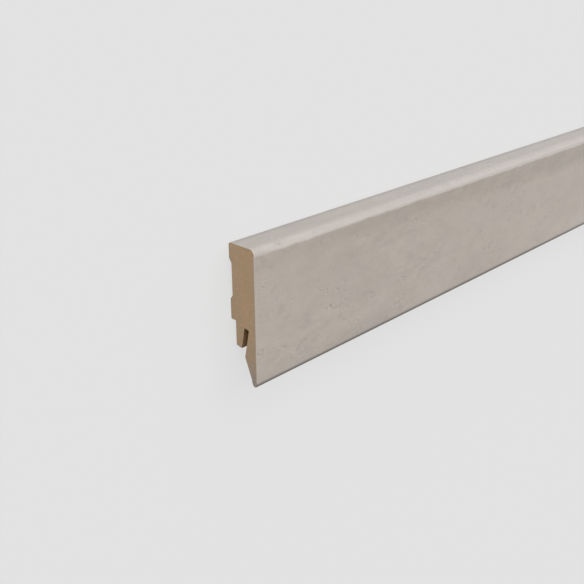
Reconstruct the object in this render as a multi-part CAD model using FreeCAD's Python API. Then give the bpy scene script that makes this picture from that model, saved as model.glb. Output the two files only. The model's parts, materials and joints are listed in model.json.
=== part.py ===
import FreeCAD, Part
import math
import os

# Skirting board length: a moulded fibreboard core wrapped in printed decor foil.
# It lies on its back pads, printed face up: X runs along the board, Y up the board's
# height from the foot's tip to the top edge, Z through its thickness from wall to room.
# The origin is on the floor plane under the middle of the board. All sizes in mm.

# Board, foil included
BOARD_LENGTH = 2400.0
BOARD_HEIGHT = 60.0
BOARD_THICKNESS = 14.4

# Printed foil and the edges that it wraps
FOIL_THICKNESS = 0.25
TOP_EDGE_RADIUS = 2.4
TIP_RADIUS = 1.3
FOIL_BARE_STRIP = 0.3
FOIL_FOOT_RETURN = 1.5

# Back of the core: two pads that touch the wall, with a shallow recess between them
TOP_PAD_HEIGHT = 6.6
MIDDLE_PAD_HEIGHT = 8.8
SHOULDER_HEIGHT = 27.0
RECESS_DEPTH = 1.25
RECESS_SLANT = 1.8
BACK_CORNER_RADIUS = 0.5
RECESS_CORNER_RADIUS = 0.8

# Clip leg behind the groove, set back from the wall
LEG_SETBACK = 2.7
LEG_THICKNESS = 3.0
LEG_END_HEIGHT = 15.4
LEG_CORNER_RADIUS = 0.3

# Clip groove, sawn up into the core and leaning towards the room
GROOVE_WIDTH = 2.6
GROOVE_DEPTH = 10.0
GROOVE_TILT = 12.0
HEEL_DROP = 3.0

# The core carries the foil on its top, face and tip
CORE_TOP = BOARD_HEIGHT - FOIL_THICKNESS
CORE_FACE = BOARD_THICKNESS - FOIL_THICKNESS
CORE_TIP_RADIUS = TIP_RADIUS - FOIL_THICKNESS
CORE_TOP_RADIUS = TOP_EDGE_RADIUS - FOIL_THICKNESS

FULL_LENGTH = FreeCAD.Vector(BOARD_LENGTH, 0, 0)
TOWARDS_TOP = FreeCAD.Vector(0, 1, 0)
TOWARDS_ROOM = FreeCAD.Vector(0, 0, 1)


def at(height, above_back):
    """Point on the near end's plane, by height over the tip and distance from the wall."""
    return FreeCAD.Vector(-BOARD_LENGTH / 2, height - BOARD_HEIGHT / 2, above_back)


def turned(direction, angle):
    """Direction turned by an angle in radians about the board's length."""
    return FreeCAD.Rotation(FreeCAD.Vector(1, 0, 0), math.degrees(angle)).multVec(direction)


def rounded_edges(corners, closed):
    """Straight edges through corners of (point, radius), with a tangent arc at each radius."""
    stops = []
    count = len(corners)
    for index, (point, radius) in enumerate(corners):
        if radius == 0:
            stops.append((point, None, point))
            continue
        back = (corners[index - 1][0] - point).normalize()
        ahead = (corners[(index + 1) % count][0] - point).normalize()
        half_angle = back.getAngle(ahead) / 2
        cut = radius / math.tan(half_angle)
        bisector = (back + ahead).normalize()
        middle = point + bisector * (radius / math.sin(half_angle) - radius)
        stops.append((point + back * cut, middle, point + ahead * cut))
    edges = []
    for index, (start, middle, end) in enumerate(stops):
        if middle:
            edges.append(Part.Arc(start, middle, end).toShape())
        if closed or index + 1 < count:
            following = stops[(index + 1) % count][0]
            edges.append(Part.LineSegment(end, following).toShape())
    return edges


def full_length_solid(edges):
    """Solid with this outline as its section, over the whole length of the board."""
    return Part.Face(Part.Wire(edges)).extrude(FULL_LENGTH)


def groove_corners():
    """Corners of the clip groove: leg end, closed end at back and front, and the heel."""
    up_groove = turned(TOWARDS_TOP, math.radians(GROOVE_TILT))
    across = turned(TOWARDS_ROOM, math.radians(GROOVE_TILT))
    leg_end = at(LEG_END_HEIGHT, LEG_SETBACK + LEG_THICKNESS)
    closed_back = leg_end + up_groove * GROOVE_DEPTH
    closed_front = closed_back + across * GROOVE_WIDTH
    heel = leg_end + across * GROOVE_WIDTH - up_groove * HEEL_DROP
    return leg_end, closed_back, closed_front, heel


def foot_underside(heel):
    """Corner where the foot's underside meets the core's face, and the way up the underside."""
    tip_centre = at(TIP_RADIUS, BOARD_THICKNESS - TIP_RADIUS)
    to_heel = heel - tip_centre
    lean = math.asin(CORE_TIP_RADIUS / to_heel.Length)
    up_foot = turned(to_heel.normalize(), lean)
    run = (heel.z - CORE_FACE) / up_foot.z
    return heel - up_foot * run, up_foot


def make_core():
    """The moulded core: pads, recess, shoulder, clip leg, groove, heel and pointed foot."""
    leg_end, closed_back, closed_front, heel = groove_corners()
    tip, _ = foot_underside(heel)
    recess_top = BOARD_HEIGHT - TOP_PAD_HEIGHT
    recess_bottom = SHOULDER_HEIGHT + MIDDLE_PAD_HEIGHT
    leg_rise = LEG_THICKNESS * math.tan(math.radians(GROOVE_TILT))
    corners = [
        (at(CORE_TOP, 0), BACK_CORNER_RADIUS),
        (at(CORE_TOP, CORE_FACE), CORE_TOP_RADIUS),
        (tip, CORE_TIP_RADIUS),
        (heel, 0),
        (closed_front, 0),
        (closed_back, 0),
        (leg_end, 0),
        (at(LEG_END_HEIGHT + leg_rise, LEG_SETBACK), LEG_CORNER_RADIUS),
        (at(SHOULDER_HEIGHT, LEG_SETBACK), 0),
        (at(SHOULDER_HEIGHT, 0), BACK_CORNER_RADIUS),
        (at(recess_bottom, 0), RECESS_CORNER_RADIUS),
        (at(recess_bottom + RECESS_SLANT, RECESS_DEPTH), 0),
        (at(recess_top - RECESS_SLANT, RECESS_DEPTH), 0),
        (at(recess_top, 0), RECESS_CORNER_RADIUS),
    ]
    return full_length_solid(rounded_edges(corners, closed=True))


def make_foil():
    """The printed foil: one sheet over the top edge and face, turned in under the tip."""
    heel = groove_corners()[3]
    tip, up_foot = foot_underside(heel)
    outwards = turned(up_foot, -math.pi / 2)
    spread = FOIL_THICKNESS / (1 + TOWARDS_ROOM.dot(outwards))
    tip_cut = CORE_TIP_RADIUS / math.tan(up_foot.getAngle(TOWARDS_TOP) / 2)
    inner_start = at(CORE_TOP, BACK_CORNER_RADIUS + FOIL_BARE_STRIP)
    inner_end = tip + up_foot * (tip_cut + FOIL_FOOT_RETURN)
    inner = [
        (inner_start, 0),
        (at(CORE_TOP, CORE_FACE), CORE_TOP_RADIUS),
        (tip, CORE_TIP_RADIUS),
        (inner_end, 0),
    ]
    outer = [
        (inner_start + TOWARDS_TOP * FOIL_THICKNESS, 0),
        (at(BOARD_HEIGHT, BOARD_THICKNESS), TOP_EDGE_RADIUS),
        (tip + (TOWARDS_ROOM + outwards) * spread, TIP_RADIUS),
        (inner_end + outwards * FOIL_THICKNESS, 0),
    ]
    foot_end = Part.LineSegment(outer[-1][0], inner[-1][0]).toShape()
    top_end = Part.LineSegment(inner[0][0], outer[0][0]).toShape()
    inner_edges = rounded_edges(list(reversed(inner)), closed=False)
    return full_length_solid(rounded_edges(outer, closed=False) + [foot_end] + inner_edges + [top_end])


os.makedirs("parts", exist_ok=True)
for name, solid in {"fibreboard_core": make_core(), "decor_foil": make_foil()}.items():
    solid.exportStep(f"parts/{name}.step")
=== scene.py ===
import json
import math
from collections import namedtuple

import bpy
from mathutils import Matrix, Vector
from mathutils.geometry import intersect_point_line

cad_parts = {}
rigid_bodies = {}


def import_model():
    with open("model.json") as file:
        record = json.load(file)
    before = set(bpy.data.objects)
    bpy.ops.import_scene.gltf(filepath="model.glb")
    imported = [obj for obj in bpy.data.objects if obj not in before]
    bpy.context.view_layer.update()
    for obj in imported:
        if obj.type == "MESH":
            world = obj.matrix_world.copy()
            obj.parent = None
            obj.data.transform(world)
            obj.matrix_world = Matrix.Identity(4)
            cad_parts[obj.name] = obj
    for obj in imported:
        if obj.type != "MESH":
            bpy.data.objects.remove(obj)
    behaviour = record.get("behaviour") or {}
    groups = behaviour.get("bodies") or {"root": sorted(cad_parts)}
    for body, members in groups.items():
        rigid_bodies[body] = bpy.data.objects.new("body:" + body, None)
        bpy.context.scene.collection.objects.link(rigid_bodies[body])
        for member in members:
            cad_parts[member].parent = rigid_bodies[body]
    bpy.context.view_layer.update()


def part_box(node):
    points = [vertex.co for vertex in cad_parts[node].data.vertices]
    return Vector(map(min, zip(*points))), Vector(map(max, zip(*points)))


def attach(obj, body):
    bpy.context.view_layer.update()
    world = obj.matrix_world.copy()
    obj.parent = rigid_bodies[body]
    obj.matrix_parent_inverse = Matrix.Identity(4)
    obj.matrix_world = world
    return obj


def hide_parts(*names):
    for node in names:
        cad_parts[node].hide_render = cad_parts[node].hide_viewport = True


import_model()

# Skirting board length: a moulded fibreboard core wrapped in a printed decor foil, lying on its
# back pads. X runs along the board, Y up its height from the foot's tip to the top edge, and Z
# from the wall side to the room side. Sizes of the section are in mm, places are in metres.
MM = 0.001

# Board, foil included
BOARD_HEIGHT = 60.0
BOARD_THICKNESS = 14.4
FOIL_THICKNESS = 0.25
TOP_EDGE_RADIUS = 2.4
TIP_RADIUS = 1.3
FOIL_START = 0.8
FOIL_FOOT_RETURN = 1.5

# Back of the core
TOP_PAD_HEIGHT = 6.6
MIDDLE_PAD_HEIGHT = 8.8
SHOULDER_HEIGHT = 27.0
RECESS_DEPTH = 1.25
RECESS_SLANT = 1.8
BACK_CORNER_RADIUS = 0.5
RECESS_CORNER_RADIUS = 0.8

# Clip leg and clip groove
LEG_SETBACK = 2.7
LEG_THICKNESS = 3.0
LEG_END_HEIGHT = 15.4
LEG_CORNER_RADIUS = 0.3
GROOVE_WIDTH = 2.6
GROOVE_DEPTH = 10.0
GROOVE_TILT = math.radians(12.0)
HEEL_DROP = 3.0

# The core carries the foil on its top, face and tip
CORE_TOP = BOARD_HEIGHT - FOIL_THICKNESS
CORE_FACE = BOARD_THICKNESS - FOIL_THICKNESS
CORE_TIP_RADIUS = TIP_RADIUS - FOIL_THICKNESS
CORE_TOP_RADIUS = TOP_EDGE_RADIUS - FOIL_THICKNESS

# Broken edges of the sawn ends
FOIL_ARRIS = 0.03
CORE_ARRIS = 0.06
ARRIS_STEPS = 2

# How finely the pieces are made
LENGTH_CUTS = 5
ARC_STEP = math.radians(5.0)
FEWEST_ARC_STEPS = 3
SMOOTH_ANGLE = math.radians(31.0)
FLAT_FACE_WEIGHT = 60
ON_PLANE = 0.01
SAME_POINT = 0.002

NEAR_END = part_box("fibreboard_core")[0].x
FAR_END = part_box("fibreboard_core")[1].x
ALONG = Vector((1, 0, 0))
TOWARDS_TOP = Vector((0, 1, 0))
TOWARDS_ROOM = Vector((0, 0, 1))


# The section


def at(height, above_back):
    """Point on the near end's plane, by height over the tip and distance from the wall side."""
    return Vector((NEAR_END, (height - BOARD_HEIGHT / 2) * MM, above_back * MM))


def turned(direction, angle):
    """Direction turned by an angle in radians about the board's length."""
    return Matrix.Rotation(angle, 3, "X") @ direction


def groove_corners():
    """Leg end, closed end of the groove at back and front, and the heel."""
    up_groove = turned(TOWARDS_TOP, GROOVE_TILT)
    across = turned(TOWARDS_ROOM, GROOVE_TILT)
    leg_end = at(LEG_END_HEIGHT, LEG_SETBACK + LEG_THICKNESS)
    closed_back = leg_end + up_groove * GROOVE_DEPTH * MM
    closed_front = closed_back + across * GROOVE_WIDTH * MM
    heel = leg_end + (across * GROOVE_WIDTH - up_groove * HEEL_DROP) * MM
    return leg_end, closed_back, closed_front, heel


def foot_corner(heel):
    """Corner where the foot's underside meets the face, and the way up the underside."""
    tip_centre = at(TIP_RADIUS, BOARD_THICKNESS - TIP_RADIUS)
    to_heel = heel - tip_centre
    lean = math.asin(CORE_TIP_RADIUS * MM / to_heel.length)
    up_foot = turned(to_heel.normalized(), lean)
    run = (heel.z - CORE_FACE * MM) / up_foot.z
    return heel - up_foot * run, up_foot


def core_corners():
    """The core's outline as (point, radius in mm), and the line under the tip where foil ends."""
    leg_end, closed_back, closed_front, heel = groove_corners()
    tip, up_foot = foot_corner(heel)
    tip_cut = CORE_TIP_RADIUS / math.tan(up_foot.angle(TOWARDS_TOP) / 2)
    foil_end = tip + up_foot * (tip_cut + FOIL_FOOT_RETURN) * MM
    recess_top = BOARD_HEIGHT - TOP_PAD_HEIGHT
    recess_bottom = SHOULDER_HEIGHT + MIDDLE_PAD_HEIGHT
    leg_rise = LEG_THICKNESS * math.tan(GROOVE_TILT)
    corners = [
        (at(CORE_TOP, FOIL_START), 0),
        (at(CORE_TOP, CORE_FACE), CORE_TOP_RADIUS),
        (tip, CORE_TIP_RADIUS),
        (foil_end, 0),
        (heel, 0),
        (closed_front, 0),
        (closed_back, 0),
        (leg_end, 0),
        (at(LEG_END_HEIGHT + leg_rise, LEG_SETBACK), LEG_CORNER_RADIUS),
        (at(SHOULDER_HEIGHT, LEG_SETBACK), 0),
        (at(SHOULDER_HEIGHT, 0), BACK_CORNER_RADIUS),
        (at(recess_bottom, 0), RECESS_CORNER_RADIUS),
        (at(recess_bottom + RECESS_SLANT, RECESS_DEPTH), 0),
        (at(recess_top - RECESS_SLANT, RECESS_DEPTH), 0),
        (at(recess_top, 0), RECESS_CORNER_RADIUS),
        (at(CORE_TOP, 0), BACK_CORNER_RADIUS),
    ]
    return corners, foil_end


# Modelling steps


def put_down_tools():
    """Leave edit mode with nothing selected."""
    if bpy.context.mode != "OBJECT":
        bpy.ops.object.mode_set(mode="OBJECT")
    bpy.ops.object.select_all(action="DESELECT")


def take_up(piece):
    """Make the piece the one that the next steps work on."""
    put_down_tools()
    piece.select_set(True)
    bpy.context.view_layer.objects.active = piece


def choose(piece, kind, test):
    """In edit mode, select only the piece's faces or edges that pass the test."""
    bpy.ops.mesh.select_mode(type=kind)
    bpy.ops.mesh.select_all(action="DESELECT")
    bpy.ops.object.mode_set(mode="OBJECT")
    mesh = piece.data
    if kind == "FACE":
        for face in mesh.polygons:
            face.select = test(face.center, face.normal)
    else:
        for edge in mesh.edges:
            edge.select = test(*(mesh.vertices[i].co for i in edge.vertices))
    bpy.ops.object.mode_set(mode="EDIT")


def start_outline(name, start):
    """A small plane at the outline's first point, merged to the one vertex that is drawn on."""
    put_down_tools()
    bpy.ops.mesh.primitive_plane_add(size=2 * MM, location=start, rotation=(0, math.pi / 2, 0))
    piece = bpy.context.object
    piece.name = piece.data.name = name
    bpy.ops.object.transform_apply(location=True, rotation=True, scale=True)
    bpy.ops.object.mode_set(mode="EDIT")
    bpy.ops.mesh.select_all(action="SELECT")
    bpy.ops.mesh.merge(type="CENTER")
    return piece


def draw_line(start, end):
    """Extrude the selected vertex straight from start to end."""
    bpy.ops.mesh.extrude_region_move(TRANSFORM_OT_translate={"value": end - start})


def draw_outline(corners):
    """Draw the closed outline from corner to corner, with a spun arc at each radius."""
    pen = corners[0][0]
    count = len(corners)
    for index in range(1, count):
        point, radius = corners[index]
        if radius == 0:
            draw_line(pen, point)
            pen = point
            continue
        back = (corners[index - 1][0] - point).normalized()
        ahead = (corners[(index + 1) % count][0] - point).normalized()
        half_angle = back.angle(ahead) / 2
        cut = radius * MM / math.tan(half_angle)
        arc_start = point + back * cut
        centre = point + (back + ahead).normalized() * (radius * MM / math.sin(half_angle))
        side = 1 if back.cross(ahead).x > 0 else -1
        sweep = math.pi - 2 * half_angle
        steps = max(FEWEST_ARC_STEPS, round(sweep / ARC_STEP))
        draw_line(pen, arc_start)
        bpy.ops.mesh.spin(steps=steps, angle=side * sweep, center=centre, axis=ALONG)
        pen = point + ahead * cut
    draw_line(pen, corners[0][0])
    bpy.ops.mesh.select_all(action="SELECT")
    bpy.ops.mesh.remove_doubles(threshold=SAME_POINT * MM)
    bpy.ops.mesh.edge_face_add()


def run_along_board():
    """Extrude the section's face over the whole length, in even steps."""
    step = (FAR_END - NEAR_END) / LENGTH_CUTS
    for _ in range(LENGTH_CUTS):
        bpy.ops.mesh.extrude_region_move(TRANSFORM_OT_translate={"value": ALONG * step})
    bpy.ops.mesh.select_all(action="SELECT")
    bpy.ops.mesh.normals_make_consistent(inside=False)


def apply_modifier(piece, name, kind, **settings):
    """Add a modifier to the piece and apply it."""
    take_up(piece)
    modifier = piece.modifiers.new(name, kind)
    for key, value in settings.items():
        setattr(modifier, key, value)
    bpy.ops.object.modifier_apply(modifier=modifier.name)


def break_edges(piece, test, width):
    """Bevel the piece's edges that pass the test, by a width in mm."""
    take_up(piece)
    bpy.ops.object.mode_set(mode="EDIT")
    choose(piece, "EDGE", test)
    bpy.ops.mesh.bevel(offset=width * MM, segments=ARRIS_STEPS, affect="EDGES")


def smooth_shading(piece):
    """Smooth over the small arcs, sharp at the corners, flat on the wide faces."""
    take_up(piece)
    bpy.ops.object.shade_smooth_by_angle(angle=SMOOTH_ANGLE)
    apply_modifier(
        piece, "flat wide faces", "WEIGHTED_NORMAL", keep_sharp=True, weight=FLAT_FACE_WEIGHT
    )


# Tools for the materials

# A pattern has its size in mm, how far it is drawn out along the board, and its own amount.
# Flecks lie where such a tone passes their bar. A zone is where a value goes from its start to
# its end, with the share that it adds there.
Spot = namedtuple("Spot", "place from_end height above_back")
Pattern = namedtuple("Pattern", "size draw_out detail shift amount", defaults=[1.0])
Flecks = namedtuple("Flecks", "size draw_out bar shift amount")
Zone = namedtuple("Zone", "start end share", defaults=[1.0])

# Noise keeps near its middle, so it is spread to fill -1 to 1
NOISE_SPREAD = 4.0
FLECK_SOFTNESS = 0.3


def paint(red, green, blue):
    """A colour as it looks on screen, in steps of 255, as the linear colour that nodes take."""
    def linear(step):
        part = step / 255
        return part / 12.92 if part <= 0.04045 else ((part + 0.055) / 1.055) ** 2.4
    return (linear(red), linear(green), linear(blue), 1.0)


def add_node(tree, kind, inputs=None, **options):
    """Add a node with its options, plain input values and links from other nodes' outputs."""
    node = tree.nodes.new(kind)
    for key, value in options.items():
        setattr(node, key, value)
    for key, value in (inputs or {}).items():
        if isinstance(value, bpy.types.NodeSocket):
            tree.links.new(value, node.inputs[key])
        else:
            node.inputs[key].default_value = value
    return node


def reckon(tree, operation, *values):
    """Output of a Math node on these values or outputs."""
    return add_node(tree, "ShaderNodeMath", dict(enumerate(values)), operation=operation).outputs[0]


def times(tree, first, second):
    """One value times another."""
    return reckon(tree, "MULTIPLY", first, second)


def add_share(tree, base, value, share):
    """The base plus a share of the value."""
    return reckon(tree, "MULTIPLY_ADD", value, share, base)


def fade(tree, value, start, end):
    """0 where the value is at start, rising smoothly to 1 where it is at end."""
    inputs = {"Value": value, "From Min": start, "From Max": end}
    node = add_node(tree, "ShaderNodeMapRange", inputs, interpolation_type="SMOOTHSTEP")
    return node.outputs["Result"]


def blend_colours(tree, share, low, high):
    """Colour between low and high by share."""
    inputs = {0: share, 6: low, 7: high}
    return add_node(tree, "ShaderNodeMix", inputs, data_type="RGBA").outputs[2]


def start_effect(name, inputs, outputs):
    """A node group with these sockets; returns it with its input node and its output node."""
    effect = bpy.data.node_groups.new(name, "ShaderNodeTree")
    for socket_name, (kind, value) in inputs.items():
        socket = effect.interface.new_socket(socket_name, in_out="INPUT", socket_type=kind)
        if value is not None:
            socket.default_value = value
    for socket_name, kind in outputs.items():
        effect.interface.new_socket(socket_name, in_out="OUTPUT", socket_type=kind)
    return effect, effect.nodes.new("NodeGroupInput"), effect.nodes.new("NodeGroupOutput")


def use_effect(tree, effect, **values):
    """Place an effect with its own values; an underscore in a name stands for a space."""
    inputs = {name.replace("_", " "): value for name, value in values.items()}
    return add_node(tree, "ShaderNodeGroup", inputs, node_tree=effect).outputs[0]


def make_mottle():
    """Soft uneven tone from -1 to 1, in patches of a size in mm, drawn out along the board."""
    effect, given, result = start_effect(
        "mottle",
        {
            "Place": ("NodeSocketVector", None),
            "Size": ("NodeSocketFloat", 10.0),
            "Draw Out": ("NodeSocketFloat", 1.0),
            "Detail": ("NodeSocketFloat", 2.0),
            "Shift": ("NodeSocketFloat", 0.0),
        },
        {"Tone": "NodeSocketFloat"},
    )
    given = given.outputs
    across = reckon(effect, "DIVIDE", 1 / MM, given["Size"])
    along = reckon(effect, "DIVIDE", across, given["Draw Out"])
    scales = add_node(effect, "ShaderNodeCombineXYZ", {"X": along, "Y": across, "Z": across})
    shifts = add_node(effect, "ShaderNodeCombineXYZ", {"X": given["Shift"], "Y": given["Shift"]})
    where = add_node(
        effect, "ShaderNodeVectorMath",
        {0: given["Place"], 1: scales.outputs[0], 2: shifts.outputs[0]},
        operation="MULTIPLY_ADD",
    )
    noise = add_node(
        effect, "ShaderNodeTexNoise",
        {"Vector": where.outputs[0], "Scale": 1.0, "Detail": given["Detail"]},
    )
    centred = add_share(effect, -NOISE_SPREAD / 2, noise.outputs[0], NOISE_SPREAD)
    clipped = reckon(effect, "MAXIMUM", reckon(effect, "MINIMUM", centred, 1.0), -1.0)
    effect.links.new(clipped, result.inputs["Tone"])
    return effect


def make_flecks(mottle):
    """Small separate flecks as a mask from 0 to 1; the larger the bar, the fewer they are."""
    effect, given, result = start_effect(
        "flecks",
        {
            "Place": ("NodeSocketVector", None),
            "Size": ("NodeSocketFloat", 0.6),
            "Draw Out": ("NodeSocketFloat", 1.0),
            "Bar": ("NodeSocketFloat", 0.6),
            "Shift": ("NodeSocketFloat", 0.0),
        },
        {"Mask": "NodeSocketFloat"},
    )
    given = given.outputs
    tone = use_effect(
        effect, mottle, Place=given["Place"], Size=given["Size"], Draw_Out=given["Draw Out"],
        Detail=1.0, Shift=given["Shift"],
    )
    top = reckon(effect, "ADD", given["Bar"], FLECK_SOFTNESS)
    effect.links.new(fade(effect, tone, given["Bar"], top), result.inputs["Mask"])
    return effect


def make_shade():
    """A colour made lighter or darker by a tone from -1 to 1, by a share of itself."""
    effect, given, result = start_effect(
        "shade",
        {
            "Colour": ("NodeSocketColor", None),
            "Tone": ("NodeSocketFloat", 0.0),
            "Amount": ("NodeSocketFloat", 0.05),
        },
        {"Colour": "NodeSocketColor"},
    )
    given = given.outputs
    level = add_share(effect, 1.0, given["Tone"], given["Amount"])
    scaled = add_node(
        effect, "ShaderNodeVectorMath", {0: given["Colour"], "Scale": level}, operation="SCALE"
    )
    effect.links.new(scaled.outputs[0], result.inputs["Colour"])
    return effect


mottle = make_mottle()
flecks = make_flecks(mottle)
shade = make_shade()


def mottled(tree, place, pattern):
    """Soft uneven tone of this pattern."""
    return use_effect(
        tree, mottle, Place=place, Size=pattern.size, Draw_Out=pattern.draw_out,
        Detail=pattern.detail, Shift=pattern.shift,
    )


def add_pattern(tree, base, place, pattern):
    """The base plus the pattern's tone, by the pattern's own amount."""
    return add_share(tree, base, mottled(tree, place, pattern), pattern.amount)


def flecked(tree, place, kind):
    """Mask of these flecks."""
    return use_effect(
        tree, flecks, Place=place, Size=kind.size, Draw_Out=kind.draw_out, Bar=kind.bar,
        Shift=kind.shift,
    )


def shaded(tree, colour, tone, amount):
    """The colour, lighter or darker by an amount of the tone."""
    return use_effect(tree, shade, Colour=colour, Tone=tone, Amount=amount)


def in_zone(tree, value, zone):
    """0 where the value is at the zone's start, rising smoothly to 1 where it is at its end."""
    return fade(tree, value, zone.start, zone.end)


def add_zone(tree, base, value, zone):
    """The base plus the zone's share, as far as the value is in the zone."""
    return add_share(tree, base, in_zone(tree, value, zone), zone.share)


def shade_zone(tree, colour, value, zone):
    """The colour, lighter or darker by the zone's share, as far as the value is in the zone."""
    return shaded(tree, colour, in_zone(tree, value, zone), zone.share)


def bump(tree, height, depth):
    """Normal of a surface with this relief, of a depth in mm."""
    inputs = {"Height": height, "Distance": depth * MM, "Strength": 1.0}
    return add_node(tree, "ShaderNodeBump", inputs).outputs["Normal"]


def read_spot(tree):
    """A spot on the piece: its place in metres, and in mm how far in from the nearer end, how
    high over the foot's tip and how far from the wall side it is."""
    place = tree.nodes.new("ShaderNodeTexCoord").outputs["Object"]
    parts = add_node(tree, "ShaderNodeSeparateXYZ", {0: place}).outputs
    from_end = add_share(tree, FAR_END / MM, reckon(tree, "ABSOLUTE", parts["X"]), -1 / MM)
    height = add_share(tree, BOARD_HEIGHT / 2, parts["Y"], 1 / MM)
    above_back = times(tree, parts["Z"], 1 / MM)
    return Spot(place, from_end, height, above_back)


def start_material(name):
    """An empty material, with its node tree, its shader and the spot that its patterns read."""
    material = bpy.data.materials.new(name)
    material.use_nodes = True
    tree = material.node_tree
    return material, tree, tree.nodes["Principled BSDF"], read_spot(tree)


def finish_shader(tree, shader, colour, roughness, relief, depth):
    """Give the shader its colour and roughness, and a relief of a depth in mm."""
    tree.links.new(colour, shader.inputs["Base Color"])
    tree.links.new(roughness, shader.inputs["Roughness"])
    tree.links.new(bump(tree, relief, depth), shader.inputs["Normal"])


# The printed foil

# Its colours
GREIGE = paint(173, 164, 156)
WARM_GREIGE = paint(175, 164, 154)
# Painted shade of the strip under the rounding
STRIP_SHADE_TONE = paint(148, 138, 128)
# Painted highlight on the rounding
HIGHLIGHT_TONE = paint(216, 210, 205)
# Painted sheen on the top and the rounding
SHEEN_GREY_TONE = paint(158, 166, 178)
SHEEN_COOL_TONE = paint(200, 210, 216)
# Painted highlight along the foil's top ends
RIM_HIGHLIGHT_TONE = paint(224, 206, 188)

# Its print, with sizes in mm
WARMTH = Pattern(size=15.0, draw_out=1.8, detail=2.0, shift=88.2, amount=0.5)
CLOUDS = Pattern(size=30.0, draw_out=1.8, detail=3.0, shift=3.1, amount=0.056)
HAZE = Pattern(size=7.0, draw_out=1.7, detail=3.0, shift=17.7, amount=0.047)
SMEARS = Pattern(size=2.6, draw_out=2.4, detail=3.0, shift=41.3, amount=0.058)
GRAIN = Pattern(size=1.1, draw_out=1.5, detail=2.0, shift=63.9, amount=0.038)
SMUDGES = Flecks(size=3.4, draw_out=1.5, bar=0.30, shift=187.0, amount=-0.075)
DARK_SPECKS = Flecks(size=1.5, draw_out=1.3, bar=0.55, shift=200.0, amount=-0.21)
PALE_SPECKS = DARK_SPECKS._replace(shift=200.45, amount=0.14)
STRIP_PATCHES = Pattern(size=7.0, draw_out=2.2, detail=3.0, shift=133.0, amount=0.60)
LINE_WANDER = Pattern(size=4.0, draw_out=2.0, detail=2.0, shift=140.0, amount=0.35)
PRESS_MARKS = Pattern(size=1.8, draw_out=1.5, detail=2.0, shift=230.0)

# Where smears, smudges and specks lie: an uneven tone, and the zone of it that has them
SMEARED = (Pattern(size=30.0, draw_out=2.0, detail=1.0, shift=120.5), Zone(-0.2, 0.6))
SMUDGED = (Pattern(size=24.0, draw_out=1.6, detail=2.0, shift=170.0), Zone(-0.15, 0.45))
SPECKLED = (Pattern(size=9.0, draw_out=1.5, detail=1.0, shift=161.1), Zone(0.25, 0.6))

# Two clouds that stand out near the left end: middle and half size in metres, and amount
LONE_CLOUDS = (
    ((-1.11, 0.007, 0.0), (0.055, 0.006, 1.0), 0.04),
    ((-1.132, -0.026, 0.0), (0.040, 0.008, 1.0), -0.10),
)
LONE_CLOUD_EDGE = Zone(1.0, 0.2)

# Height over the tip and distance from the back at which the rounding starts
ROUNDING_START = BOARD_HEIGHT - TOP_EDGE_RADIUS
ROUNDING_BACK = BOARD_THICKNESS - TOP_EDGE_RADIUS

# Zones in mm from the nearer end
FURTHER_IN = Zone(0.0, 260.0)
# The painted highlight on the rounding is weaker in the last centimetre
LAST_CENTIMETRE = Zone(17.0, 3.0, share=-0.40)
RIM = Zone(0.9, 0.3)

# Zones in mm over the tip
STRIP_BEGINS = Zone(ROUNDING_START - 8.6, ROUNDING_START - 3.1)
STRIP_STOPS = Zone(ROUNDING_START + 0.4, ROUNDING_START - 0.6)
# Where the painted highlight on the rounding begins and peaks
PALE_BEGINS = Zone(ROUNDING_START - 1.2, ROUNDING_START - 0.1)
BROW = Zone(ROUNDING_START + 1.3, ROUNDING_START + 0.2, share=0.53)
# Where the painted sheen on the top begins
GREY_BEGINS = Zone(ROUNDING_START + 0.1, ROUNDING_START + 1.2)
COOL_BEGINS = Zone(BOARD_HEIGHT - 0.7, BOARD_HEIGHT - 0.1)
# Where the painted rim highlight begins
RIM_BEGINS = Zone(ROUNDING_START - 1.1, ROUNDING_START + 0.4)
# Painted shade just above the tip and on the tip
NEAR_TIP = Zone(4.5, 2.5, share=-0.035)
SHADE_ON_TIP = Zone(2.6, 0.8, share=-0.74)

# Zones in mm from the back
# Where the painted highlight lies on the rounding, from the back
PALE_ROUNDING = Zone(ROUNDING_BACK - 1.6, ROUNDING_BACK - 0.4)
# How the painted sheen's grey changes towards the back
LESS_GREY = Zone(ROUNDING_BACK + 1.0, ROUNDING_BACK - 1.0, share=-0.045)
MORE_GREY = Zone(8.0, 2.0, share=0.050)
RIM_ROUNDING = Zone(ROUNDING_BACK - 1.0, ROUNDING_BACK + 0.4, share=0.13)
RIM_CORNER = Zone(ROUNDING_BACK + 1.6, ROUNDING_BACK + 2.2, share=0.15)
BACK_EDGE = Zone(3.8, 1.6, share=-0.15)

# Shares at the ends of the board, of the painted shade strip, highlights and sheen
STRIP_SHARE = 0.22
PALE_SHARE = 0.10
HIGHLIGHT_STRENGTH = 0.88
GREY_SHARE = 0.105
COOL_SHARE = 0.04
RIM_SHARE = 0.10

# How they change further in, and how far the zones move there, in mm
STRIP_DARKENS = 0.20
STRIP_DROPS = 7.0
PALE_DROPS = 1.2
BROW_RISES = 0.25
HIGHLIGHT_EASES = 0.06
GREY_GROWS = 0.020
COOL_GROWS = 0.03
TIP_SHADE_RISES = 0.3
BACK_EDGE_WIDENS = 1.0

STRIP_WANDER = 1.4
FOIL_ROUGHNESS = 0.40
HAZE_ROUGHNESS = 0.03
GRAIN_RELIEF = 0.5
FOIL_RELIEF = 0.004


def areas(tree, place, kind):
    """Mask of the areas in which one kind of mark lies."""
    pattern, zone = kind
    return in_zone(tree, mottled(tree, place, pattern), zone)


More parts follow.
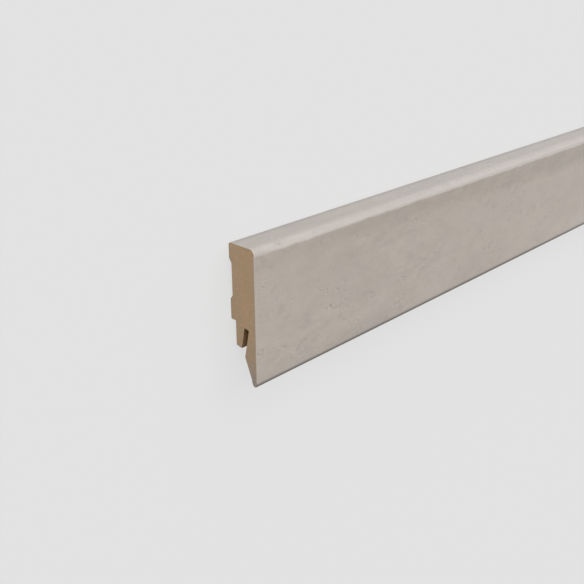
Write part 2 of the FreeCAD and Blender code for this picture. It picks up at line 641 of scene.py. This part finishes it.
def print_clouds(tree, place, haze, grain):
    """The plain print: two close greiges under soft clouds and faint drawn-out smears."""
    colour = blend_colours(tree, add_pattern(tree, 0.5, place, WARMTH), GREIGE, WARM_GREIGE)
    clouds = mottled(tree, place, CLOUDS)
    smears = times(tree, mottled(tree, place, SMEARS), areas(tree, place, SMEARED))
    for pattern, tone in ((CLOUDS, clouds), (HAZE, haze), (SMEARS, smears), (GRAIN, grain)):
        colour = shaded(tree, colour, tone, pattern.amount)
    return colour


def print_marks(tree, place, colour):
    """Marks on the print: groups of smudges, lone clouds, and clusters of dark and pale specks."""
    smudges = times(tree, flecked(tree, place, SMUDGES), areas(tree, place, SMUDGED))
    colour = shaded(tree, colour, smudges, SMUDGES.amount)
    for middle, half_size, amount in LONE_CLOUDS:
        scaled = add_node(
            tree, "ShaderNodeMapping",
            {"Vector": place, "Location": middle, "Scale": half_size}, vector_type="TEXTURE",
        ).outputs[0]
        distance = add_node(tree, "ShaderNodeVectorMath", {0: scaled}, operation="LENGTH")
        cloud = in_zone(tree, distance.outputs["Value"], LONE_CLOUD_EDGE)
        colour = shaded(tree, colour, cloud, amount)
    speckled = areas(tree, place, SPECKLED)
    for kind in (DARK_SPECKS, PALE_SPECKS):
        specks = times(tree, flecked(tree, place, kind), speckled)
        colour = shaded(tree, colour, specks, kind.amount)
    return colour


def paint_shade_under_rounding(tree, spot, colour, haze, further):
    """Painted shade: an uneven darker strip just under the rounding, wider and darker away from the
    ends.
    """
    wander = add_share(tree, spot.height, haze, STRIP_WANDER)
    wander = add_share(tree, wander, further, STRIP_DROPS)
    strip = times(
        tree, in_zone(tree, wander, STRIP_BEGINS), in_zone(tree, spot.height, STRIP_STOPS)
    )
    strip = times(tree, strip, add_share(tree, STRIP_SHARE, further, STRIP_DARKENS))
    strip = times(tree, strip, add_pattern(tree, 1.0, spot.place, STRIP_PATCHES))
    return blend_colours(tree, strip, colour, STRIP_SHADE_TONE)


def paint_highlight_on_rounding(tree, spot, colour, further):
    """Painted highlight: the foil paler over the rounding, most of all where it meets the face."""
    line = add_pattern(tree, spot.height, spot.place, LINE_WANDER)
    line = add_share(tree, line, further, PALE_DROPS)
    rounded = times(
        tree, in_zone(tree, line, PALE_BEGINS), in_zone(tree, spot.above_back, PALE_ROUNDING)
    )
    brow_height = add_share(tree, spot.height, further, -BROW_RISES)
    highlight = times(tree, rounded, add_zone(tree, PALE_SHARE, brow_height, BROW))
    highlight = times(tree, highlight, add_share(tree, HIGHLIGHT_STRENGTH, further, -HIGHLIGHT_EASES))
    highlight = times(tree, highlight, add_zone(tree, 1.0, spot.from_end, LAST_CENTIMETRE))
    return blend_colours(tree, highlight, colour, HIGHLIGHT_TONE)


def paint_sheen_on_top(tree, spot, colour, further):
    """Painted sheen: the foil greyer over the top and the rounding, and cooler on the flat top."""
    grey_share = add_zone(tree, GREY_SHARE, spot.above_back, LESS_GREY)
    grey_share = add_share(tree, grey_share, further, GREY_GROWS)
    grey_share = add_zone(tree, grey_share, spot.above_back, MORE_GREY)
    greyed = times(tree, in_zone(tree, spot.height, GREY_BEGINS), grey_share)
    colour = blend_colours(tree, greyed, colour, SHEEN_GREY_TONE)
    cool_share = add_share(tree, COOL_SHARE, further, COOL_GROWS)
    cool = times(tree, in_zone(tree, spot.height, COOL_BEGINS), cool_share)
    return blend_colours(tree, cool, colour, SHEEN_COOL_TONE)


def paint_tip_shade_and_back_edge(tree, spot, colour, further):
    """Painted shade just above the tip and on the tip, where the foil turns under; the foil is also
    darker along its back edge.
    """
    colour = shade_zone(tree, colour, spot.height, NEAR_TIP)
    tip_shade_height = add_share(tree, spot.height, further, -TIP_SHADE_RISES)
    colour = shade_zone(tree, colour, tip_shade_height, SHADE_ON_TIP)
    from_back = add_share(tree, spot.above_back, further, -BACK_EDGE_WIDENS)
    return shade_zone(tree, colour, from_back, BACK_EDGE)


def paint_rim_highlight(tree, spot, colour):
    """Painted highlight along the foil's top ends, brightest on the rounding."""
    rim = times(tree, in_zone(tree, spot.from_end, RIM), in_zone(tree, spot.height, RIM_BEGINS))
    rim_share = add_zone(tree, RIM_SHARE, spot.above_back, RIM_ROUNDING)
    rim_share = add_zone(tree, rim_share, spot.above_back, RIM_CORNER)
    return blend_colours(tree, times(tree, rim, rim_share), colour, RIM_HIGHLIGHT_TONE)


def make_printed_foil():
    """Pale greige print, with painted shade under the rounding and at the tip, painted highlights on
    the rounding and along the top ends, painted sheen on the top, and a darker back edge.
    """
    material, tree, shader, spot = start_material("printed_foil")
    haze = mottled(tree, spot.place, HAZE)
    grain = mottled(tree, spot.place, GRAIN)
    further = in_zone(tree, spot.from_end, FURTHER_IN)
    colour = print_clouds(tree, spot.place, haze, grain)
    colour = print_marks(tree, spot.place, colour)
    colour = paint_shade_under_rounding(tree, spot, colour, haze, further)
    colour = paint_highlight_on_rounding(tree, spot, colour, further)
    colour = paint_sheen_on_top(tree, spot, colour, further)
    colour = paint_tip_shade_and_back_edge(tree, spot, colour, further)
    colour = paint_rim_highlight(tree, spot, colour)
    roughness = add_share(tree, FOIL_ROUGHNESS, haze, HAZE_ROUGHNESS)
    relief = add_share(tree, mottled(tree, spot.place, PRESS_MARKS), grain, GRAIN_RELIEF)
    finish_shader(tree, shader, colour, roughness, relief, FOIL_RELIEF)
    return material


# The foil's cut edge

PAPER = paint(216, 199, 178)
PAPER_ON_TOP = paint(184, 162, 136)
PAPER_AT_CORNER = paint(158, 136, 108)
PAPER_SHADE_AT_TIP = paint(112, 101, 92)
FRAY = Pattern(size=0.35, draw_out=1.0, detail=2.0, shift=5.0, amount=0.07)
CUT_TOP = Zone(ROUNDING_START - 1.0, ROUNDING_START + 0.2)
CUT_CORNER = Zone(ROUNDING_START - 0.4, ROUNDING_START + 0.4)
# Painted shade on the cut edge at the tip
CUT_TIP = Zone(2.5, 1.5)
PAPER_ROUGHNESS = 0.75
FRAY_ROUGHNESS = 0.06
PAPER_RELIEF = 0.02


def make_foil_edge():
    """The foil's cut edge: pale paper, slightly frayed, darker on the top, with painted shade at the
    tip.
    """
    material, tree, shader, spot = start_material("foil_cut_edge")
    fray = mottled(tree, spot.place, FRAY)
    at_corner = times(
        tree, in_zone(tree, spot.height, CUT_CORNER), in_zone(tree, spot.above_back, RIM_ROUNDING)
    )
    colour = blend_colours(tree, in_zone(tree, spot.height, CUT_TOP), PAPER, PAPER_ON_TOP)
    colour = blend_colours(tree, at_corner, colour, PAPER_AT_CORNER)
    colour = blend_colours(tree, in_zone(tree, spot.height, CUT_TIP), colour, PAPER_SHADE_AT_TIP)
    colour = shaded(tree, colour, fray, FRAY.amount)
    roughness = add_share(tree, PAPER_ROUGHNESS, fray, FRAY_ROUGHNESS)
    finish_shader(tree, shader, colour, roughness, fray, PAPER_RELIEF)
    return material


# The fibreboard

# Its colours; the wall side and the room side are each between two hues
WALL_SIDE = (paint(180, 157, 127), paint(191, 158, 130))
ROOM_SIDE = (paint(179, 155, 122), paint(190, 156, 125))
# Painted shade towards the foot and its tip
BOARD_FOOT_SHADE = paint(175, 152, 127)
BOARD_TIP_SHADE = paint(161, 147, 134)
SKIN_TONE = paint(166, 153, 138)
# Painted shade in the groove, from its mouth to its closed end
GROOVE_MOUTH_SHADE = paint(134, 104, 70)
GROOVE_END_SHADE = paint(84, 60, 36)

# Its fibres, with sizes in mm
BOARD_HUE = Pattern(size=6.0, draw_out=1.5, detail=2.0, shift=9.3, amount=0.5)
PATCHES = Pattern(size=7.0, draw_out=2.0, detail=3.0, shift=4.4, amount=0.030)
FUZZ = Pattern(size=0.9, draw_out=2.5, detail=2.0, shift=21.0, amount=0.04)
DUST = Pattern(size=0.3, draw_out=1.5, detail=1.0, shift=37.0, amount=0.035)
DARK_FIBRES = Flecks(size=0.8, draw_out=3.0, bar=0.50, shift=50.0, amount=-0.11)
PALE_FIBRES = Flecks(size=0.9, draw_out=3.0, bar=0.50, shift=71.0, amount=0.09)
BARK_SPECKS = Flecks(size=0.5, draw_out=1.5, bar=0.72, shift=93.0, amount=-0.28)

# Its tool marks
SAW_MARKS = Pattern(size=0.45, draw_out=1.0, detail=1.0, shift=7.0)
SAW_LEAN = math.radians(8)
SAW_STRETCH = (1, 1, 0.04)
MILLING_MARKS = Pattern(size=0.5, draw_out=60.0, detail=1.0, shift=11.0)
MARKS_AMOUNT = 0.025

# Zones in mm: from the back, over the tip and from the nearer end
TOWARDS_FACE = Zone(3.0, 11.0)
FACE_SKIN = Zone(12.7, 13.9)
BACK_SKIN = Zone(1.2, 0.2)
# Where the painted shade towards the foot and its tip lies
FOOT = Zone(34.0, 4.0)
FOOT_TIP = Zone(12.0, 2.0)
SAWN_END = Zone(0.15, 0.05)

# Zones of the groove's painted shade in mm: off its middle line, and past its closed end
GROOVE_WALLS = Zone(GROOVE_WIDTH / 2 + 0.1, GROOVE_WIDTH / 2 + 0.05)
GROOVE_SHADE_FROM = Zone(-GROOVE_DEPTH - 1.8, -GROOVE_DEPTH - 0.6)
GROOVE_SHADE_UP_TO = Zone(0.1, 0.05)
DEEP_IN_GROOVE = Zone(-GROOVE_DEPTH / 2, 0.0)

PATCHES_WANDER = 1.5
SKIN_SHARE = 0.5
FUZZ_RELIEF = 0.7
BOARD_ROUGHNESS = 0.88
FUZZ_ROUGHNESS = 0.04
BOARD_SPECULAR = 0.3
BOARD_RELIEF = 0.02


def in_groove(tree, spot):
    """How far past the groove's closed end a spot is, and how far off its middle line, in mm."""
    closed_back = groove_corners()[1]
    height = reckon(tree, "SUBTRACT", spot.height, closed_back.y / MM + BOARD_HEIGHT / 2)
    above = reckon(tree, "SUBTRACT", spot.above_back, closed_back.z / MM)
    rise, lean = math.cos(GROOVE_TILT), math.sin(GROOVE_TILT)
    past_end = add_share(tree, times(tree, height, rise), above, lean)
    across = add_share(tree, times(tree, above, rise), height, -lean)
    off_middle = reckon(tree, "ABSOLUTE", reckon(tree, "SUBTRACT", across, GROOVE_WIDTH / 2))
    return past_end, off_middle


def press_fibres(tree, spot, patches, fuzz, dust):
    """Felted fibres with denser, darker skins, and painted shade that makes them darker and greyer
    towards the foot's tip.
    """
    hue = add_pattern(tree, 0.5, spot.place, BOARD_HUE)
    wall_side = blend_colours(tree, hue, *WALL_SIDE)
    room_side = blend_colours(tree, hue, *ROOM_SIDE)
    wander = add_share(tree, spot.above_back, patches, PATCHES_WANDER)
    colour = blend_colours(tree, in_zone(tree, wander, TOWARDS_FACE), wall_side, room_side)
    colour = blend_colours(tree, in_zone(tree, spot.height, FOOT), colour, BOARD_FOOT_SHADE)
    colour = blend_colours(tree, in_zone(tree, spot.height, FOOT_TIP), colour, BOARD_TIP_SHADE)
    face_skin = in_zone(tree, spot.above_back, FACE_SKIN)
    back_skin = in_zone(tree, spot.above_back, BACK_SKIN)
    skins = times(tree, reckon(tree, "MAXIMUM", face_skin, back_skin), SKIN_SHARE)
    colour = blend_colours(tree, skins, colour, SKIN_TONE)
    for pattern, tone in ((PATCHES, patches), (FUZZ, fuzz), (DUST, dust)):
        colour = shaded(tree, colour, tone, pattern.amount)
    for kind in (DARK_FIBRES, PALE_FIBRES, BARK_SPECKS):
        colour = shaded(tree, colour, flecked(tree, spot.place, kind), kind.amount)
    return colour


def paint_shade_in_groove(tree, spot, colour, sawn_end):
    """Painted shade on the groove's walls, darkest at the closed end."""
    past_end, off_middle = in_groove(tree, spot)
    groove_shade = times(
        tree, in_zone(tree, off_middle, GROOVE_WALLS), in_zone(tree, past_end, GROOVE_SHADE_FROM)
    )
    groove_shade = times(tree, groove_shade, in_zone(tree, past_end, GROOVE_SHADE_UP_TO))
    groove_shade = times(tree, groove_shade, fade(tree, sawn_end, 1.0, 0.0))
    deep = in_zone(tree, past_end, DEEP_IN_GROOVE)
    groove_shade_colour = blend_colours(tree, deep, GROOVE_MOUTH_SHADE, GROOVE_END_SHADE)
    return blend_colours(tree, groove_shade, colour, groove_shade_colour)


def tool_marks(tree, spot, sawn_end):
    """Fine saw lines on the ends, long cutter lines on the milled faces."""
    saw_place = add_node(
        tree, "ShaderNodeMapping",
        {"Vector": spot.place, "Rotation": (SAW_LEAN, 0, 0), "Scale": SAW_STRETCH},
    ).outputs[0]
    sawn = mottled(tree, saw_place, SAW_MARKS)
    milled = mottled(tree, spot.place, MILLING_MARKS)
    return add_node(tree, "ShaderNodeMix", {0: sawn_end, 2: milled, 3: sawn}).outputs[0]


def make_fibreboard():
    """Pressed fibreboard: felted fibres, painted shade in the groove and towards the foot's tip, saw
    marks and milling marks.
    """
    material, tree, shader, spot = start_material("fibreboard")
    patches = mottled(tree, spot.place, PATCHES)
    fuzz = mottled(tree, spot.place, FUZZ)
    dust = mottled(tree, spot.place, DUST)
    sawn_end = in_zone(tree, spot.from_end, SAWN_END)
    colour = press_fibres(tree, spot, patches, fuzz, dust)
    colour = paint_shade_in_groove(tree, spot, colour, sawn_end)
    marks = tool_marks(tree, spot, sawn_end)
    colour = shaded(tree, colour, marks, MARKS_AMOUNT)
    roughness = add_share(tree, BOARD_ROUGHNESS, fuzz, FUZZ_ROUGHNESS)
    relief = reckon(tree, "ADD", add_share(tree, dust, fuzz, FUZZ_RELIEF), marks)
    finish_shader(tree, shader, colour, roughness, relief, BOARD_RELIEF)
    shader.inputs["Specular IOR Level"].default_value = BOARD_SPECULAR
    return material


# The pieces

# How far a face's normal leans towards an end, or out at the top or the room side
FACES_END = 0.7
FACES_OUT = 0.3

corners, foil_end = core_corners()
bare_line = FOIL_START * MM


def under_foil(place, normal):
    """True for the core's faces that the foil covers."""
    if abs(normal.x) > FACES_END:
        return False
    on_top = normal.y > FACES_OUT and place.z > bare_line
    on_face = normal.z > FACES_OUT and place.z > (CORE_FACE - CORE_TOP_RADIUS) * MM
    on_tip = place.y < foil_end.y
    return on_top or on_face or on_tip


def end_edge(a, b):
    """True for edges in the plane of either sawn end."""
    return all(min(abs(p.x - NEAR_END), abs(p.x - FAR_END)) < ON_PLANE * MM for p in (a, b))


def bare_end_edge(a, b):
    """True for the core's end edges that no foil covers."""
    middle = (a + b) / 2
    top = (CORE_TOP - BOARD_HEIGHT / 2 - CORE_TOP_RADIUS) * MM
    on_top = middle.y > top and middle.z > bare_line
    on_face = middle.z > (CORE_FACE - ON_PLANE) * MM
    on_tip = middle.y < foil_end.y
    return end_edge(a, b) and not (on_top or on_face or on_tip)


core = start_outline("skirting_core", corners[0][0])
draw_outline(corners)
run_along_board()

# The foil starts as a copy of the core's faces that it covers
choose(core, "FACE", under_foil)
bpy.ops.mesh.duplicate()
bpy.ops.mesh.separate(type="SELECTED")
put_down_tools()
foil = next(o for o in bpy.data.objects if o.name.startswith("skirting_core") and o != core)
foil.name = foil.data.name = "skirting_foil"
foil.data.materials.append(make_printed_foil())
foil.data.materials.append(make_foil_edge())
apply_modifier(
    foil, "foil thickness", "SOLIDIFY", thickness=FOIL_THICKNESS * MM, offset=1.0,
    use_even_offset=True, use_rim=True, material_offset_rim=1,
)
break_edges(foil, end_edge, FOIL_ARRIS)
smooth_shading(foil)

core.data.materials.append(make_fibreboard())
break_edges(core, bare_end_edge, CORE_ARRIS)
smooth_shading(core)
put_down_tools()


# Flat maps for baked colours

# Faces that lie against the other piece take little of the map, and the sawn ends take more
HIDDEN_SHARE = 0.05
END_SCALE = 2.0
MAP_GAP = 2.0 * MM


def end_outline(piece):
    """Points in order round the piece's left end, from the lowest one nearest to the wall side."""
    points = [vertex.co for vertex in piece.data.vertices]
    sides = set()
    for face in piece.data.polygons:
        turn = list(face.vertices)
        if all(abs(points[i].x - NEAR_END) < ON_PLANE * MM for i in turn):
            sides.update(zip(turn, turn[1:] + turn[:1]))
    onward = {start: stop for start, stop in sides if (stop, start) not in sides}
    ring = [min(onward, key=lambda i: (round(points[i].z / MM, 3), round(points[i].y / MM, 3)))]
    while onward[ring[-1]] != ring[0]:
        ring.append(onward[ring[-1]])
    return [points[i] for i in ring]


def outline_sides(piece, hidden):
    """The left end's outline as (start, stop, place on the map, width on the map), and its sum."""
    points = end_outline(piece)
    sides = []
    place = 0.0
    for start, stop in zip(points, points[1:] + points[:1]):
        out = (start - stop).cross(ALONG).normalized()
        share = HIDDEN_SHARE if hidden((start + stop) / 2, out) else 1.0
        width = (stop - start).length * share
        sides.append((start, stop, place, width))
        place += width
    return sides, place


def place_round(sides, point):
    """Place on the map of the outline's point that is nearest to this point of the piece."""
    section_point = Vector((NEAR_END, point.y, point.z))
    found = []
    for start, stop, place, width in sides:
        share = min(max(intersect_point_line(section_point, start, stop)[1], 0.0), 1.0)
        gap = (start.lerp(stop, share) - section_point).length
        found.append((gap, place + share * width))
    return min(found)[1]


def lay_out_map(piece, hidden):
    """Map the piece flat: its length as strips side by side, then both ends at twice the scale."""
    mesh = piece.data
    sides, around = outline_sides(piece, hidden)
    strip = (FAR_END - NEAR_END) / LENGTH_CUTS
    ends = LENGTH_CUTS * (around + MAP_GAP)
    size = max(ends + BOARD_THICKNESS * MM * END_SCALE, strip) + 2 * MAP_GAP
    mesh.uv_layers.remove(mesh.uv_layers[0])
    layer = mesh.uv_layers.new(name="OFBake")
    places = [place_round(sides, vertex.co) for vertex in mesh.vertices]
    for face in mesh.polygons:
        number = min(int((face.center.x - NEAR_END) / strip), LENGTH_CUTS - 1)
        middle = place_round(sides, face.center)
        for loop in face.loop_indices:
            corner = mesh.loops[loop].vertex_index
            point = mesh.vertices[corner].co
            height = point.y + BOARD_HEIGHT * MM / 2
            if face.normal.x < -FACES_END:
                u = ends + point.z * END_SCALE
                v = height * END_SCALE
            elif face.normal.x > FACES_END:
                u = ends + (BOARD_THICKNESS * MM - point.z) * END_SCALE
                v = (height + BOARD_HEIGHT * MM) * END_SCALE + MAP_GAP
            else:
                place = places[corner] - around * round((places[corner] - middle) / around)
                u = number * (around + MAP_GAP) + around - place
                v = NEAR_END + (number + 1) * strip - point.x
            layer.data[loop].uv = ((u + MAP_GAP) / size, (v + MAP_GAP / 2) / size)


def against_core(place, out):
    """True for the foil's sides that face the core."""
    return out.dot(place - Vector((NEAR_END, 0, BOARD_THICKNESS / 2 * MM))) < 0


lay_out_map(core, under_foil)
lay_out_map(foil, against_core)


# Each piece rides on the root and stands for a CAD node, which is hidden; each row also gives a slot
# name

for piece, node, slot in ((core, "fibreboard_core", "core"), (foil, "decor_foil", "foil")):
    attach(piece, "root")
    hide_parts(node)


# Floor, light and camera

BACKDROP = paint(227, 227, 227)
FLOOR_SIZE = 16.0
FLOOR_DROP = 0.05
FLOOR_BOUNCE = (0.40, 0.40, 0.40, 1.0)
FLOOR_SHADOW_SHARE = 0.17
FILL = (0.45, 0.45, 0.45, 1.0)
LAMPS = (
    ("left_lamp", (-0.60, 0.45, 0.66), 0.39),
    ("key_lamp", (0.50, 0.60, 0.62), 0.28),
    ("back_lamp", (0.10, 0.97, 0.20), 0.40),
)
LAMP_DISTANCE = 3.0
LAMP_SPREAD = math.radians(50)
CAMERA_PLACE = (-1.397269, 0.136194, 0.227544)
CAMERA_DEGREES = (-22.690265, -45.788539, -0.494045)


def seen_directly(tree):
    """1 for rays from the camera or from a gloss or glass, which see the pale backdrop."""
    path = tree.nodes.new("ShaderNodeLightPath").outputs
    shine = reckon(tree, "MAXIMUM", path["Is Glossy Ray"], path["Is Transmission Ray"])
    return reckon(tree, "MAXIMUM", path["Is Camera Ray"], shine)


def make_floor_finish():
    """A pale floor that keeps a soft shadow, and throws less light back at the board."""
    material = bpy.data.materials.new("studio_floor")
    material.use_nodes = True
    tree = material.node_tree
    seen = seen_directly(tree)
    matt = tree.nodes["Principled BSDF"]
    matt.inputs["Roughness"].default_value = 1.0
    matt.inputs["Specular IOR Level"].default_value = 0.0
    tree.links.new(blend_colours(tree, seen, FLOOR_BOUNCE, BACKDROP), matt.inputs["Base Color"])
    pale = add_node(tree, "ShaderNodeEmission", {"Color": BACKDROP, "Strength": 1.0})
    pale_share = times(tree, seen, 1 - FLOOR_SHADOW_SHARE)
    mixed = add_node(
        tree, "ShaderNodeMixShader", {0: pale_share, 1: matt.outputs[0], 2: pale.outputs[0]}
    )
    tree.links.new(mixed.outputs[0], tree.nodes["Material Output"].inputs["Surface"])
    return material


def soft_lamp(name, direction, level):
    """A wide soft lamp far off in a direction; at level 1 a face turned to it shows its own colour."""
    put_down_tools()
    place = Vector(direction).normalized() * LAMP_DISTANCE
    bpy.ops.object.light_add(type="SUN", location=place)
    lamp = bpy.context.object
    lamp.name = name
    lamp.rotation_euler = place.to_track_quat("Z", "Y").to_euler()
    lamp.data.energy = level * math.pi
    lamp.data.angle = LAMP_SPREAD


put_down_tools()
bpy.ops.mesh.primitive_plane_add(size=FLOOR_SIZE, location=(0, 0, -FLOOR_DROP * MM))
floor = bpy.context.object
floor.name = "studio_floor"
floor.data.materials.append(make_floor_finish())

world = bpy.data.worlds.new("studio")
bpy.context.scene.world = world
world.use_nodes = True
sky = world.node_tree
sky_colour = blend_colours(sky, seen_directly(sky), FILL, BACKDROP)
sky.links.new(sky_colour, sky.nodes["Background"].inputs["Color"])

for name, direction, level in LAMPS:
    soft_lamp(name, direction, level)

put_down_tools()
bpy.ops.object.camera_add(location=CAMERA_PLACE)
camera = bpy.context.object
camera.name = "photo_view"
camera.rotation_euler = [math.radians(angle) for angle in CAMERA_DEGREES]
camera.data.lens = 50.0
camera.data.sensor_width = 36.0
camera.data.clip_start = 0.01
bpy.context.scene.camera = camera
bpy.context.scene.view_settings.view_transform = "Standard"
